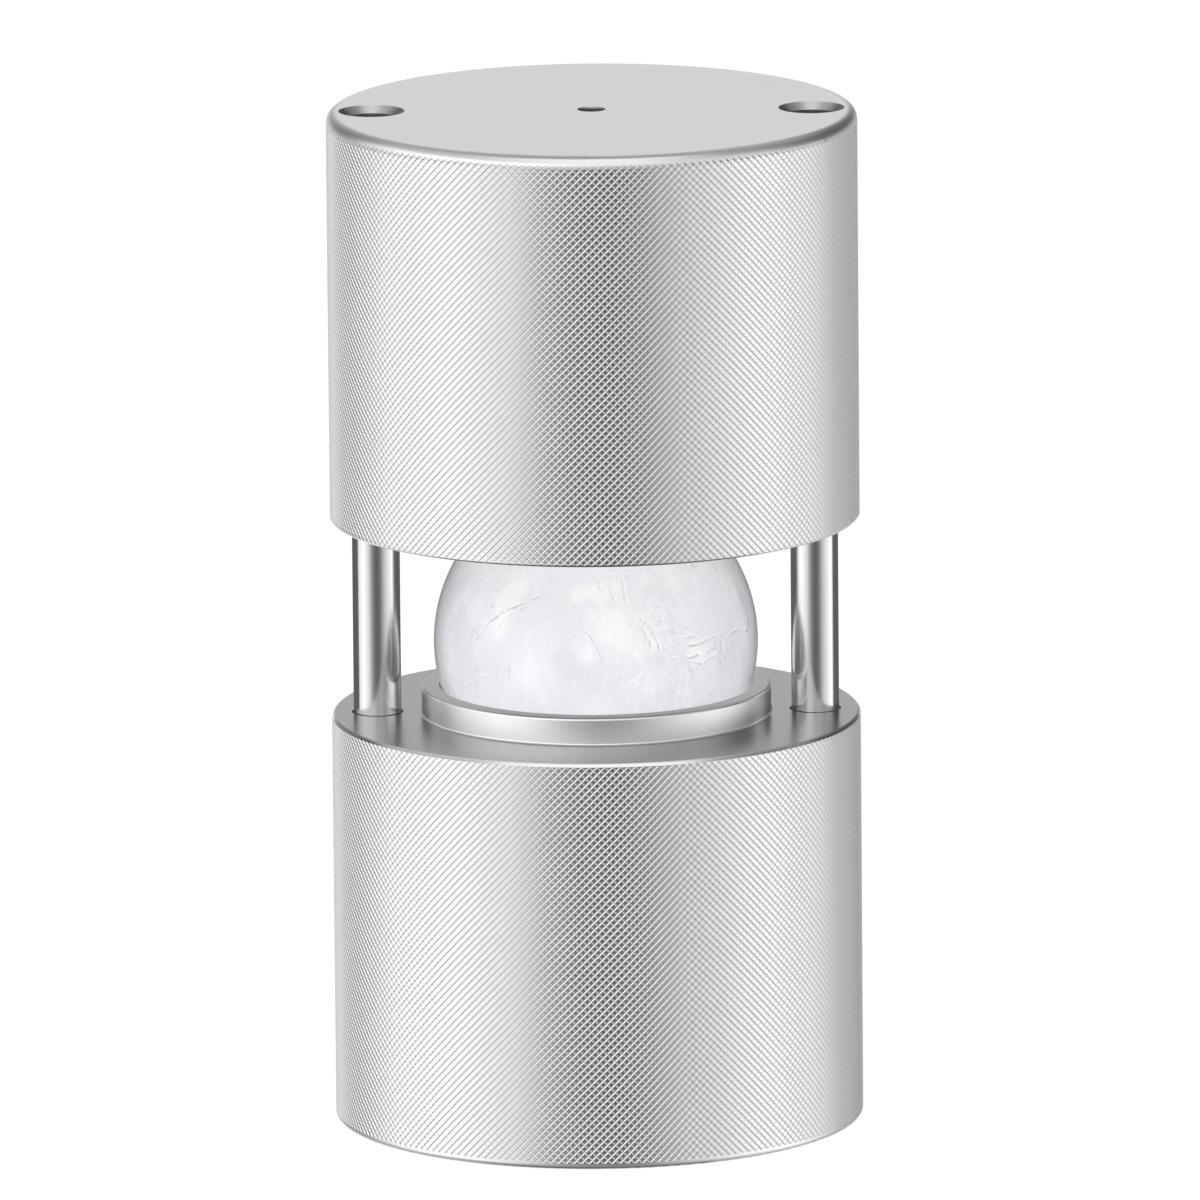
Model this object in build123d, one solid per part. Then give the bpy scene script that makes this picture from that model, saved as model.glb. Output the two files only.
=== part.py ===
"""Two-part press that melts a block of ice into a clear ball.

A heavy upper mould slides down two rods onto a lower mould and squeezes the ice between
two cavities. Both moulds are turned from one round bar and knurled on the outside.
Lengths are in millimetres. The origin lies under the middle of the press, on the surface
that it stands on; +Z points up along the rods, which stand on the X axis.
The fine knurling itself isn't cut: each knurled band is turned down to its root.
"""
from build123d import *
import os
from math import cos, radians, sin, sqrt

# ---- the ice ball and its cavity ----
BALL_D = 70.0                # ice ball that the press makes
BALL_CLEARANCE = 0.3         # film of melt water between ball and cavity, all round
RIM_BELOW_CENTRE = 9.5       # collar's rim under the ball's centre, so a ball can be picked up

# ---- collar round the lower cavity, and the recess that takes it ----
COLLAR_H = 6.0               # collar above the parting face
COLLAR_WALL = 3.75           # collar's wall at its rim
COLLAR_EDGE_ROUND = 0.6      # rounding of the collar's outer top edge
COLLAR_FOOT_ROUND = 0.3      # fillet where the collar meets the parting face
COLLAR_FIT = 0.5             # radial room between collar and recess
COLLAR_HEADROOM = 0.4        # room over the rim when the press is closed
RECESS_LEAD_IN = 1.0         # chamfer at the recess's mouth, which clears the collar's fillet

# ---- guide rods and their bores ----
ROD_D = 10.3                 # ground stainless rod
ROD_RUNNING_CLEARANCE = 0.08 # radial, rod in the upper mould's bore
ROD_SOCKET_CLEARANCE = 0.02  # radial, rod in its socket in the lower mould
ROD_WEB = 3.82               # metal between collar recess and rod bore
ROD_TIP_INSET = 3.0          # rod tip below the upper mould's top when the press is closed
ROD_TIP_CHAMFER = 1.2        # lead-in on the rod's upper end
ROD_FOOT_CHAMFER = 0.4       # broken edge on the rod's lower end
SOCKET_MOUTH_CHAMFER = 0.45  # thin dark ring that shows round each rod's foot
BORE_MOUTH_SINK = 1.92       # width of the countersink of each rod bore in the top face
BORE_MOUTH_DEPTH = 1.45      # and its depth, which leaves the bore's dark inside in view
BORE_LEAD_IN = 1.0           # chamfer at the bore's lower mouth
EDGE_LAND = 2.7              # flat metal between countersink and the bar's edge

# ---- the two moulds ----
LOWER_H = 88.9               # lower mould, underside to parting face
UPPER_H = 88.9               # upper mould
PRESS_GAP = 43.0             # opening between the moulds as the press stands open
LOWER_TOP_CHAMFER = 0.65
LOWER_FOOT_ROUND = 1.2
UPPER_TOP_ROUND = 2.5
UPPER_FOOT_CHAMFER = 0.4

# ---- knurled bands ----
KNURL_DEPTH = 0.35           # from the bar's full size down to the root of the grooves
KNURL_LAND = 0.2             # plain strip beside a rounded edge; a band runs out at a chamfer

# ---- vent and drain ----
VENT_D = 5.5                 # lets air in over the ball, so that the upper mould lifts freely
DRAIN_D = 5.5                # lets melt water out under the lower mould
HOLE_EDGE_BREAK = 0.3        # chamfer at the mouths of vent and drain

# ---- cap screws that hold the rods from below (M6) ----
SCREW_D = 6.0
SCREW_SHANK_L = 25.0
SCREW_TIP_CHAMFER = 0.8
SCREW_HEAD_D = 10.0
SCREW_HEAD_H = 6.0
SCREW_HEAD_BREAK = 0.6       # chamfer round the head's top
HEX_SOCKET_AF = 5.0          # across flats
HEX_SOCKET_DEPTH = 3.0
THREAD_CLEARANCE = 0.02      # radial, screw in the rod's tapped hole
TAPPED_RUN_OUT = 4.0         # tapped hole beyond the screw's tip
DRILL_POINT_ANGLE = 118.0    # cone at the end of the tapped hole
SCREW_HOLE_D = 6.6           # clearance hole through the land
SCREW_LAND = 8.0             # metal that the screw clamps against the rod's foot
HEAD_RECESS = 3.3            # head's face above the underside
HEAD_POCKET_CLEARANCE = 0.5  # radial, screw head in its counterbore

# ---- split lock washers under the screw heads ----
WASHER_INNER_D = 6.2
WASHER_OUTER_D = 9.9
WASHER_T = 1.6
WASHER_SPLIT = 0.9           # width of the split
WASHER_SPLIT_TILT = 25.0     # slant of the split, degrees

# ---- rubber feet ----
FOOT_D = 12.0
FOOT_STAND = 0.6             # foot below the lower mould's underside
FOOT_SEAT_DEPTH = 2.0        # foot's seat in the underside
FOOT_FIT = 0.1               # radial, foot in its seat
FOOT_EDGE_ROUND = 0.4
FOOT_CIRCLE_R = 40.0         # feet's centres from the middle
FOOT_FIRST_ANGLE = 45.0      # first foot, from +X

TINY = 1e-3                  # for finding an edge by its size
CUT_PAST = 1.0               # how far a cutting tool runs past the face that it opens

# ---- worked out from the sizes above ----
ball_r = BALL_D / 2
cavity_r = ball_r + BALL_CLEARANCE
opening_r = sqrt(cavity_r ** 2 - RIM_BELOW_CENTRE ** 2)
collar_r = opening_r + COLLAR_WALL
recess_r = collar_r + COLLAR_FIT
recess_depth = COLLAR_H + COLLAR_HEADROOM

rod_r = ROD_D / 2
bore_r = rod_r + ROD_RUNNING_CLEARANCE
rod_x = recess_r + ROD_WEB + bore_r
bar_r = rod_x + bore_r + BORE_MOUTH_SINK + EDGE_LAND
knurl_root_r = bar_r - KNURL_DEPTH

underside_z = FOOT_STAND
parting_z = underside_z + LOWER_H
rim_z = parting_z + COLLAR_H
ball_z = rim_z + RIM_BELOW_CENTRE
upper_z = parting_z + PRESS_GAP
upper_top_z = upper_z + UPPER_H
dome_rise = ball_z - parting_z          # dome's centre above the upper mould's foot

head_face_z = underside_z + HEAD_RECESS
washer_z = head_face_z + SCREW_HEAD_H
land_z = washer_z + WASHER_T
socket_floor_z = land_z + SCREW_LAND
rod_tip_z = parting_z + UPPER_H - ROD_TIP_INSET
screw_tip_z = washer_z + SCREW_SHANK_L

SIDES = {"left": -1, "right": 1}
FEET = ("back_right", "back_left", "front_left", "front_right")


def post(radius, low, high, x=0.0, y=0.0):
    """Upright cylinder between two heights."""
    return Pos(x, y, (low + high) / 2) * Cylinder(radius, high - low)


def taper(low_radius, high_radius, low, high, x=0.0, y=0.0):
    """Upright cone between two heights."""
    return Pos(x, y, (low + high) / 2) * Cone(low_radius, high_radius, high - low)


def ring(outer, inner, low, high):
    """Upright tube between two heights."""
    return post(outer, low, high) - post(inner, low, high)


def ring_edges(solid, radius, height):
    """Full circular edges of one radius at one height."""
    found = solid.edges().filter_by(GeomType.CIRCLE)
    return [
        edge for edge in found
        if abs(edge.radius - radius) < TINY and abs(edge.center(CenterOf.MASS).Z - height) < TINY
    ]


def mouth_up(radius, sink, height, x=0.0, y=0.0, depth=None):
    """Countersink that opens upwards at a face, at 45 degrees unless its depth is given."""
    depth = depth or sink
    top = radius + sink * (1 + CUT_PAST / depth)
    return taper(radius, top, height - depth, height + CUT_PAST, x, y)


def mouth_down(radius, sink, height, x=0.0, y=0.0):
    """45 degree countersink that opens downwards at a face."""
    bottom = radius + sink + CUT_PAST
    return taper(bottom, radius, height - CUT_PAST, height + sink, x, y)


def knurl_band(low, high):
    """Ring that takes a band of the bar down to the knurl's root."""
    return ring(bar_r + CUT_PAST, knurl_root_r, low, high)


def make_lower_mould():
    body = post(bar_r, underside_z, parting_z) + post(collar_r, underside_z, rim_z)
    body = fillet(ring_edges(body, collar_r, parting_z), COLLAR_FOOT_ROUND)
    body = fillet(ring_edges(body, collar_r, rim_z), COLLAR_EDGE_ROUND)
    body = fillet(ring_edges(body, bar_r, underside_z), LOWER_FOOT_ROUND)
    body = chamfer(ring_edges(body, bar_r, parting_z), LOWER_TOP_CHAMFER)
    body -= knurl_band(underside_z + LOWER_FOOT_ROUND + KNURL_LAND, parting_z + CUT_PAST)
    body -= Pos(0, 0, ball_z) * Sphere(cavity_r)
    body -= post(DRAIN_D / 2, underside_z - CUT_PAST, ball_z)
    body -= mouth_down(DRAIN_D / 2, HOLE_EDGE_BREAK, underside_z)
    socket_r = rod_r + ROD_SOCKET_CLEARANCE
    pocket_r = SCREW_HEAD_D / 2 + HEAD_POCKET_CLEARANCE
    for side in SIDES.values():
        x = side * rod_x
        body -= post(socket_r, socket_floor_z, rim_z, x)
        body -= mouth_up(socket_r, SOCKET_MOUTH_CHAMFER, parting_z, x)
        body -= post(SCREW_HOLE_D / 2, land_z - CUT_PAST, socket_floor_z + CUT_PAST, x)
        body -= post(pocket_r, underside_z - CUT_PAST, land_z, x)
        body -= mouth_down(pocket_r, HOLE_EDGE_BREAK, underside_z, x)
    for x, y in foot_places():
        seat_r = FOOT_D / 2 + FOOT_FIT
        body -= post(seat_r, underside_z - CUT_PAST, underside_z + FOOT_SEAT_DEPTH, x, y)
    return body


def make_upper_mould():
    body = post(bar_r, upper_z, upper_top_z)
    body = fillet(ring_edges(body, bar_r, upper_top_z), UPPER_TOP_ROUND)
    body = chamfer(ring_edges(body, bar_r, upper_z), UPPER_FOOT_CHAMFER)
    body -= knurl_band(upper_z - CUT_PAST, upper_top_z - UPPER_TOP_ROUND - KNURL_LAND)
    dome_z = upper_z + dome_rise
    body -= post(recess_r, upper_z - CUT_PAST, upper_z + recess_depth)
    body -= mouth_down(recess_r, RECESS_LEAD_IN, upper_z)
    body -= post(cavity_r, upper_z - CUT_PAST, dome_z)
    body -= Pos(0, 0, dome_z) * Sphere(cavity_r)
    body -= post(VENT_D / 2, dome_z, upper_top_z + CUT_PAST)
    body -= mouth_up(VENT_D / 2, HOLE_EDGE_BREAK, upper_top_z)
    for side in SIDES.values():
        x = side * rod_x
        body -= post(bore_r, upper_z - CUT_PAST, upper_top_z + CUT_PAST, x)
        body -= mouth_up(bore_r, BORE_MOUTH_SINK, upper_top_z, x, depth=BORE_MOUTH_DEPTH)
        body -= mouth_down(bore_r, BORE_LEAD_IN, upper_z, x)
    return body


def make_guide_rod(x):
    rod = post(rod_r, socket_floor_z, rod_tip_z)
    rod = chamfer(ring_edges(rod, rod_r, rod_tip_z), ROD_TIP_CHAMFER)
    rod = chamfer(ring_edges(rod, rod_r, socket_floor_z), ROD_FOOT_CHAMFER)
    tap_r = SCREW_D / 2 + THREAD_CLEARANCE
    tap_end_z = screw_tip_z + TAPPED_RUN_OUT
    point_h = tap_r / sin(radians(DRILL_POINT_ANGLE / 2)) * cos(radians(DRILL_POINT_ANGLE / 2))
    rod -= post(tap_r, socket_floor_z - CUT_PAST, tap_end_z)
    rod -= taper(tap_r, 0, tap_end_z, tap_end_z + point_h)
    return Pos(x, 0, 0) * rod


def make_rod_screw(x):
    head = post(SCREW_HEAD_D / 2, head_face_z, washer_z)
    head = chamfer(ring_edges(head, SCREW_HEAD_D / 2, head_face_z), SCREW_HEAD_BREAK)
    shank = post(SCREW_D / 2, washer_z - CUT_PAST, screw_tip_z)
    shank = chamfer(ring_edges(shank, SCREW_D / 2, screw_tip_z), SCREW_TIP_CHAMFER)
    hexagon = RegularPolygon(HEX_SOCKET_AF / 2, 6, major_radius=False)
    key_hole = Pos(0, 0, head_face_z) * extrude(hexagon, HEX_SOCKET_DEPTH)
    return Pos(x, 0, 0) * (head + shank - key_hole)


def make_rod_washer(x):
    washer = ring(WASHER_OUTER_D / 2, WASHER_INNER_D / 2, washer_z, land_z)
    middle_z = (washer_z + land_z) / 2
    middle_r = (WASHER_OUTER_D + WASHER_INNER_D) / 4
    cutter = Box(WASHER_OUTER_D / 2, WASHER_SPLIT, 3 * WASHER_T)
    return Pos(x, 0, 0) * (washer - Pos(middle_r, 0, middle_z) * Rot(WASHER_SPLIT_TILT, 0, 0) * cutter)


def foot_places():
    """Centres of the feet, anticlockwise from the first."""
    step = 360 / len(FEET)
    angles = [radians(FOOT_FIRST_ANGLE + step * count) for count in range(len(FEET))]
    return [(FOOT_CIRCLE_R * cos(angle), FOOT_CIRCLE_R * sin(angle)) for angle in angles]


def make_foot(x, y):
    foot = post(FOOT_D / 2, underside_z - FOOT_STAND, underside_z + FOOT_SEAT_DEPTH)
    foot = fillet(ring_edges(foot, FOOT_D / 2, underside_z - FOOT_STAND), FOOT_EDGE_ROUND)
    return Pos(x, y, 0) * foot


def make_ice_ball():
    return Pos(0, 0, ball_z) * Sphere(ball_r)


def make_parts():
    parts = {
        "lower_mould": make_lower_mould(),
        "upper_mould": make_upper_mould(),
        "ice_ball": make_ice_ball(),
    }
    for side, sign in SIDES.items():
        parts[f"guide_rod_{side}"] = make_guide_rod(sign * rod_x)
        parts[f"rod_screw_{side}"] = make_rod_screw(sign * rod_x)
        parts[f"rod_washer_{side}"] = make_rod_washer(sign * rod_x)
    for name, (x, y) in zip(FEET, foot_places()):
        parts[f"foot_{name}"] = make_foot(x, y)
    return parts


os.makedirs("parts", exist_ok=True)
for node, solid in make_parts().items():
    export_step(solid, f"parts/{node}.step")
print(f"bar diameter {2 * bar_r:.2f}, rod spacing {2 * rod_x:.2f}, cavity opening {2 * opening_r:.2f}")
print(f"travel down {PRESS_GAP:.1f}, rods engaged as it stands {rod_tip_z - upper_z:.1f}")
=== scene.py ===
"""Dresses the packed ice ball press: knurled moulds, polished rods, a wet ball of ice, a studio."""
import math
import bmesh
import bpy
from mathutils import Matrix, Vector


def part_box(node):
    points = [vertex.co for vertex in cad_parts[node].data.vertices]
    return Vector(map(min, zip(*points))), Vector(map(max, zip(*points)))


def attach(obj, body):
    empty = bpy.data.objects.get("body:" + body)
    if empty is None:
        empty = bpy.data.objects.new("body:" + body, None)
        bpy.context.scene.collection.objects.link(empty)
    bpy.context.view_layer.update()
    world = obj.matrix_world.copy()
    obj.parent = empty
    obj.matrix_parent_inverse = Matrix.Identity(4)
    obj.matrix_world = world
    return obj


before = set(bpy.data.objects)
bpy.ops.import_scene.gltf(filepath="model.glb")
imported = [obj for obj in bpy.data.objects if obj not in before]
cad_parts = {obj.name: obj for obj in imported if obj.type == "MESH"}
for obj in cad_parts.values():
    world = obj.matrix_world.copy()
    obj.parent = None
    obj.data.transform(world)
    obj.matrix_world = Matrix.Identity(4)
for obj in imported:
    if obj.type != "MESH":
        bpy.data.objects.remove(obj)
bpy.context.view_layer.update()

bl_info = {
    "name": "Ice ball press",
    "version": (1, 0, 0),
    "blender": (4, 5, 0),
    "location": "3D Viewport > Sidebar > Ice press",
    "description": "Knurled moulds, polished rods, a wet ball of ice and a small studio",
    "category": "Object",
}

MM = 0.001

# ---- places and sizes on the press, in metres ----
LOWER_LOW, LOWER_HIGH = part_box("lower_mould")
UPPER_LOW, UPPER_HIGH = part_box("upper_mould")
BALL_LOW, BALL_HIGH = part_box("ice_ball")
BALL_CENTRE = (BALL_LOW + BALL_HIGH) / 2
BAR_R = UPPER_HIGH.x
COLLAR_H = 6.0 * MM
COLLAR_R = 37.75 * MM
COLLAR_MOUTH_R = 34.0 * MM
COLLAR_EDGE_ROUND = 0.6 * MM
COLLAR_FILLET = 0.45 * MM
RIM_Z = LOWER_HIGH.z
PARTING_Z = RIM_Z - COLLAR_H
ROD_X = sum(corner.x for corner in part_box("guide_rod_right")) / 2
ROD_R = 5.15 * MM
KNURL_ROOT_R = 56.8 * MM     # of the solids' knurled bands
LOWER_TOP_CHAMFER = 0.65 * MM
UPPER_FOOT_CHAMFER = 0.4 * MM
BORE_MOUTH_R = 7.15 * MM
BORE_MOUTH_DEPTH = 1.45 * MM
UPPER_TOP_ROUND = 2.5 * MM
LOWER_FOOT_ROUND = 1.2 * MM
KNURL_LAND = 0.2 * MM        # plain strip between a band and a rounded edge
# Knurled bands, from low to high on the crests.
LOWER_BAND = (LOWER_LOW.z + LOWER_FOOT_ROUND + KNURL_LAND, PARTING_Z - LOWER_TOP_CHAMFER)
UPPER_BAND = (UPPER_LOW.z + UPPER_FOOT_CHAMFER, UPPER_HIGH.z - UPPER_TOP_ROUND - KNURL_LAND)
# How far an end of a band's floor lies above the end of its crests, for each bit of depth.
LOWER_BAND_SLOPES = (0.0, 1.0)
UPPER_BAND_SLOPES = (-1.0, 0.0)

# ---- the view of the press in the photo ----
VIEW_LENS = 684.5            # mm, for a 36 mm sensor
VIEW_DISTANCE = 4.8244       # metres in front of the press
VIEW_HEIGHT = 1.1082         # metres above the floor
VIEW_PITCH = 0.2033          # radians down
VIEW_YAW = 0.0002            # radians to the right
VIEW_ROLL = -0.0084          # radians

# ---- the knurl's sleeves ----
CREST_BELOW_BAR = 0.004 * MM
SLEEVE_BACK_R = KNURL_ROOT_R - 0.01 * MM
SLEEVE_WALL_R = KNURL_ROOT_R - 0.5 * MM


# ---------------------------------------------------------------- nodes as Python
class Value:
    """An output socket. Arithmetic on it adds Math nodes."""

    def __init__(self, maker, socket):
        self.maker = maker
        self.socket = socket

    def math(self, operation, *others):
        return self.maker.math(operation, self, *others)

    def __add__(self, other):
        return self.math("ADD", other)

    def __sub__(self, other):
        return self.math("SUBTRACT", other)

    def __rsub__(self, other):
        return self.maker.math("SUBTRACT", other, self)

    def __mul__(self, other):
        return self.math("MULTIPLY", other)

    def __truediv__(self, other):
        return self.math("DIVIDE", other)

    def __rtruediv__(self, other):
        return self.maker.math("DIVIDE", other, self)

    def __neg__(self):
        return self.math("MULTIPLY", -1)

    __radd__ = __add__
    __rmul__ = __mul__


class Maker:
    """Adds nodes to one tree."""

    def __init__(self, tree):
        self.tree = tree

    def put(self, socket, value):
        if isinstance(value, Value):
            self.tree.links.new(value.socket, socket)
        else:
            socket.default_value = value

    def add(self, kind, settings=None, inputs=None, output=0):
        """One node: its settings first, then the values or links of its sockets."""
        node = self.tree.nodes.new(kind)
        for name, value in (settings or {}).items():
            if name == "stops":
                self.set_stops(node.color_ramp, value)
            else:
                setattr(node, name, value)
        for key, value in (inputs or {}).items():
            self.put(node.inputs[key], value)
        return Value(self, node.outputs[output]) if len(node.outputs) else None

    def set_stops(self, ramp, stops):
        while len(ramp.elements) > 1:
            ramp.elements.remove(ramp.elements[-1])
        for count, (place, shade) in enumerate(stops):
            stop = ramp.elements[0] if count == 0 else ramp.elements.new(place)
            stop.position = place
            stop.color = (shade, shade, shade, 1)

    def math(self, operation, *values):
        return self.add("ShaderNodeMath", {"operation": operation}, dict(enumerate(values)))

    def step(self, value, low, high, to_low=0.0, to_high=1.0):
        """Smooth step of value from low to high."""
        return self.add(
            "ShaderNodeMapRange",
            {"interpolation_type": "SMOOTHSTEP"},
            {0: value, 1: low, 2: high, 3: to_low, 4: to_high},
        )

    def ramp(self, value, stops):
        """Grey value from a ramp's stops."""
        return self.add("ShaderNodeValToRGB", {"stops": stops}, {0: value})

    def mix(self, factor, first, second, blend="MIX"):
        """Mix of two colours."""
        settings = {"data_type": "RGBA", "blend_type": blend}
        return self.add("ShaderNodeMix", settings, {0: factor, 6: first, 7: second}, 2)

    def vector(self, operation, *values, output=0):
        settings = {"operation": operation}
        return self.add("ShaderNodeVectorMath", settings, dict(enumerate(values)), output)

    def split(self, vector):
        """The three parts of a vector."""
        parts = self.add("ShaderNodeSeparateXYZ", None, {0: vector})
        return [Value(self, socket) for socket in parts.socket.node.outputs]

    def place(self, kind="Object"):
        return self.add("ShaderNodeTexCoord", None, None, kind)

    def noise(self, vector, scale, detail=2.0, roughness=0.5, distortion=0.0):
        inputs = {
            "Vector": vector, "Scale": scale, "Detail": detail,
            "Roughness": roughness, "Distortion": distortion,
        }
        return self.add("ShaderNodeTexNoise", None, inputs)

    def grey(self, shade):
        """A value as a colour."""
        return self.add("ShaderNodeCombineXYZ", None, {0: shade, 1: shade, 2: shade})

    def stretch(self, vector, scale, turn=(0, 0, 0)):
        """Vector turned and stretched about the piece's own origin."""
        return self.add("ShaderNodeMapping", None, {"Vector": vector, "Rotation": turn, "Scale": scale})

    def bump(self, height, distance, strength=1.0, normal=None):
        inputs = {"Height": height, "Distance": distance, "Strength": strength}
        if normal is not None:
            inputs["Normal"] = normal
        return self.add("ShaderNodeBump", None, inputs)


def new_material(name):
    """A material without nodes, and its Maker."""
    material = bpy.data.materials.new(name)
    material.use_nodes = True
    material.node_tree.nodes.clear()
    return material, Maker(material.node_tree)


def finish_material(material, maker, values):
    """Wires the values to the Principled shader of a material."""
    surface = maker.add("ShaderNodeBsdfPrincipled", None, values)
    maker.add("ShaderNodeOutputMaterial", None, {"Surface": surface})
    return material


def dress(node, material):
    """Gives a CAD node one material on all of its faces."""
    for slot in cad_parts[node].material_slots:
        slot.material = material


# ---------------------------------------------------------------- settings
class KnurlSettings(bpy.types.PropertyGroup):
    teeth: bpy.props.IntProperty(
        name="Teeth round", description="Diamonds in one turn of the bar", default=216, min=24)
    flat: bpy.props.FloatProperty(
        name="Flat top", description="Flat crest's share of a diamond's width",
        default=0.66, min=0.05, max=0.9, subtype="FACTOR")
    depth: bpy.props.FloatProperty(
        name="Depth", description="From crest to root of the grooves",
        default=0.145 * MM, precision=6, unit="LENGTH")


class MetalSettings(bpy.types.PropertyGroup):
    aluminium: bpy.props.FloatVectorProperty(
        name="Aluminium", description="Colour of the anodised moulds",
        default=(0.86, 0.86, 0.865), size=3, min=0, max=1, subtype="COLOR")
    rod_steel: bpy.props.FloatVectorProperty(
        name="Rod steel", description="Colour of the ground and polished guide rods",
        default=(0.80, 0.80, 0.80), size=3, min=0, max=1, subtype="COLOR")
    screw_steel: bpy.props.FloatVectorProperty(
        name="Screw steel", description="Colour of the cap screws",
        default=(0.50, 0.50, 0.51), size=3, min=0, max=1, subtype="COLOR")
    washer_steel: bpy.props.FloatVectorProperty(
        name="Washer steel", description="Colour of the zinc-plated washers",
        default=(0.62, 0.63, 0.66), size=3, min=0, max=1, subtype="COLOR")
    rubber: bpy.props.FloatVectorProperty(
        name="Rubber", description="Colour of the feet",
        default=(0.035, 0.035, 0.037), size=3, min=0, max=1, subtype="COLOR")


class IceSettings(bpy.types.PropertyGroup):
    milk: bpy.props.FloatVectorProperty(
        name="Milk", description="Colour of the cloudy ice",
        default=(0.80, 0.79, 0.845), size=3, min=0, max=1, subtype="COLOR")
    # White of the fractures and frosty patches, also used for the painted highlights and painted light on
    # the ice.
    vein_and_highlight: bpy.props.FloatVectorProperty(
        name="Veins", description="Colour of the white fractures",
        default=(0.97, 0.97, 0.98), size=3, min=0, max=1, subtype="COLOR")


class StudioSettings(bpy.types.PropertyGroup):
    shadow: bpy.props.FloatProperty(
        name="Shadow", description="How much of the floor's shadow the camera sees",
        default=0.18, min=0, max=1, subtype="FACTOR")
    fill: bpy.props.FloatProperty(
        name="Fill", description="Strength of the surround on plain surfaces",
        default=0.75, min=0, max=3)
    lamp: bpy.props.FloatProperty(
        name="Key lamp", description="Power of the large lamp on the left",
        default=14.0, min=0, subtype="POWER")


# ---------------------------------------------------------------- knurl
KNURL_INPUTS = (
    ("Teeth", "NodeSocketInt"),
    ("First row", "NodeSocketInt"),
    ("Rows", "NodeSocketInt"),
    ("Row height", "NodeSocketFloat"),
    ("Low", "NodeSocketFloat"),
    ("High", "NodeSocketFloat"),
    ("Low slope", "NodeSocketFloat"),
    ("High slope", "NodeSocketFloat"),
    ("Root radius", "NodeSocketFloat"),
    ("Depth", "NodeSocketFloat"),
    ("Flat", "NodeSocketFloat"),
    ("Material", "NodeSocketMaterial"),
)


def knurl_tree():
    """Geometry nodes that set square pyramids with flat tops in staggered rows round a bar."""
    tree = bpy.data.node_groups.new("Diamond knurl", "GeometryNodeTree")
    tree.interface.new_socket("Geometry", in_out="OUTPUT", socket_type="NodeSocketGeometry")
    for name, kind in KNURL_INPUTS:
        tree.interface.new_socket(name, in_out="INPUT", socket_type=kind)
    maker = Maker(tree)
    ends = tree.nodes.new("NodeGroupInput")
    given = {socket.name: Value(maker, socket) for socket in ends.outputs if socket.name}
    teeth, low, high = given["Teeth"], given["Low"], given["High"]
    root, depth = given["Root radius"], given["Depth"]

    tooth_turn = math.tau / teeth
    corner = root * (tooth_turn / 2).math("TANGENT")
    cone = maker.add(
        "GeometryNodeMeshCone",
        {"fill_type": "NGON"},
        {
            "Vertices": 4, "Radius Bottom": corner,
            "Radius Top": corner * given["Flat"], "Depth": depth,
        },
    )
    sides = maker.add("GeometryNodeDeleteGeometry", {"domain": "FACE"}, {
        0: cone, 1: Value(maker, cone.socket.node.outputs["Bottom"]),
    })

    index = maker.add("GeometryNodeInputIndex")
    row = (index / teeth + 1e-4).math("FLOOR")
    along = index - row * teeth
    row = row + given["First row"]
    angle = (along + row.math("FLOORED_MODULO", 2.0) / 2) * tooth_turn
    spot = maker.add("ShaderNodeCombineXYZ", None, {
        0: root * angle.math("COSINE"),
        1: root * angle.math("SINE"),
        2: low + row * given["Row height"],
    })
    points = maker.add("GeometryNodePoints", None, {
        "Count": teeth * given["Rows"], "Position": spot,
    })
    facing = maker.add("ShaderNodeCombineXYZ", None, {0: math.pi / 2, 2: angle + math.pi / 2})
    size = maker.add("ShaderNodeCombineXYZ", None, {0: 1.0, 1: given["Row height"] / corner, 2: 1.0})
    field = maker.add("GeometryNodeInstanceOnPoints", None, {
        "Points": points, "Instance": sides, "Rotation": facing, "Scale": size,
    })
    whole = maker.add("GeometryNodeRealizeInstances", None, {0: field})

    x, y, z = maker.split(maker.add("GeometryNodeInputPosition"))
    radius = (x * x + y * y).math("SQRT")
    proud = (radius - root).math("MAXIMUM", 0.0)
    floor = low + proud * given["Low slope"]
    roof = high - proud * given["High slope"]
    kept = maker.add("ShaderNodeCombineXYZ", None, {
        0: x, 1: y, 2: z.math("MAXIMUM", floor).math("MINIMUM", roof),
    })
    whole = maker.add("GeometryNodeSetPosition", None, {"Geometry": whole, "Position": kept})
    whole = maker.add("GeometryNodeMergeByDistance", None, {"Geometry": whole, "Distance": 0.02 * MM})
    whole = maker.add("GeometryNodeRealizeInstances", None, {0: whole})
    whole = maker.add("GeometryNodeSetMaterial", None, {
        "Geometry": whole, "Material": given["Material"],
    })
    maker.add("NodeGroupOutput", None, {0: whole})
    return tree


def knurl_rows(band, slopes, knurl):
    """Where a band's rows of diamonds start and end, and how many there are."""
    root = BAR_R - CREST_BELOW_BAR - knurl.depth
    low = band[0] + slopes[0] * knurl.depth
    high = band[1] + slopes[1] * knurl.depth
    return root, low, high, round((high - low) / (root * math.tan(math.pi / knurl.teeth)))


def close_sleeve(mesh, ends):
    """Gives the knurl a back: its open edges run down to the bar and in to an inner wall."""
    shell = bmesh.new()
    shell.from_mesh(mesh)
    bmesh.ops.dissolve_degenerate(shell, dist=1e-6, edges=shell.edges[:])
    rims = [edge for edge in shell.edges if edge.is_boundary]
    for radius in (SLEEVE_BACK_R, SLEEVE_WALL_R):
        grown = bmesh.ops.extrude_edge_only(shell, edges=rims)["geom"]
        for vertex in [item for item in grown if isinstance(item, bmesh.types.BMVert)]:
            reach = math.hypot(vertex.co.x, vertex.co.y)
            vertex.co.x *= radius / reach
            vertex.co.y *= radius / reach
            for end in ends:
                if abs(vertex.co.z - end) < 0.5 * MM:
                    vertex.co.z = end
        rims = [item for item in grown if isinstance(item, bmesh.types.BMEdge)]
    bmesh.ops.bridge_loops(shell, edges=rims)
    bmesh.ops.recalc_face_normals(shell, faces=shell.faces[:])
    shell.to_mesh(mesh)
    shell.free()


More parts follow.
